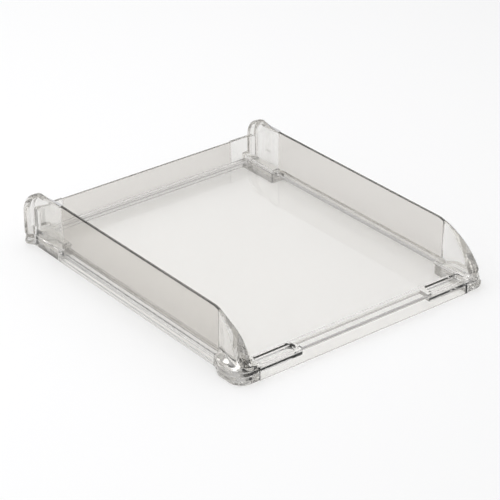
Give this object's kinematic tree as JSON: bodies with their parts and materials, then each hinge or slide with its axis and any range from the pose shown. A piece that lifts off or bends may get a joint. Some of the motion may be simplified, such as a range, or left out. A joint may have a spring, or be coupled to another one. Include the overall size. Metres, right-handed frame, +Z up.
{
  "type": "letter tray",
  "caption": "Clear stackable desk letter tray: hollow base with a notched open front, side panels, low rear panel, solid corner posts with round-topped rear ears, bumper feet.",
  "frame": {"origin": "middle of the tray's footprint, on the plane that the bumper feet rest on", "axes": "+Z up; +Y the rear, with the low rear panel; -Y the open front that paper goes in through; +X the right-hand side seen from the front"},
  "size_m": [0.279, 0.324, 0.054],
  "materials": {
    "clear_base": "clear polished plastic",
    "clear_panel": "clear polished plastic sheet, faintly warm grey",
    "clear_post": "thick clear polished plastic",
    "clear_foot": "clear satin silicone"
  },
  "bodies": {
    "root": {"base_moulding": "clear_base", "side_panel_left": "clear_panel", "side_panel_right": "clear_panel", "rear_panel": "clear_panel", "front_post_left": "clear_post", "front_post_right": "clear_post", "rear_post_left": "clear_post", "rear_post_right": "clear_post", "foot_front_left": "clear_foot", "foot_front_right": "clear_foot", "foot_rear_left": "clear_foot", "foot_rear_right": "clear_foot"}
  },
  "joints": []
}
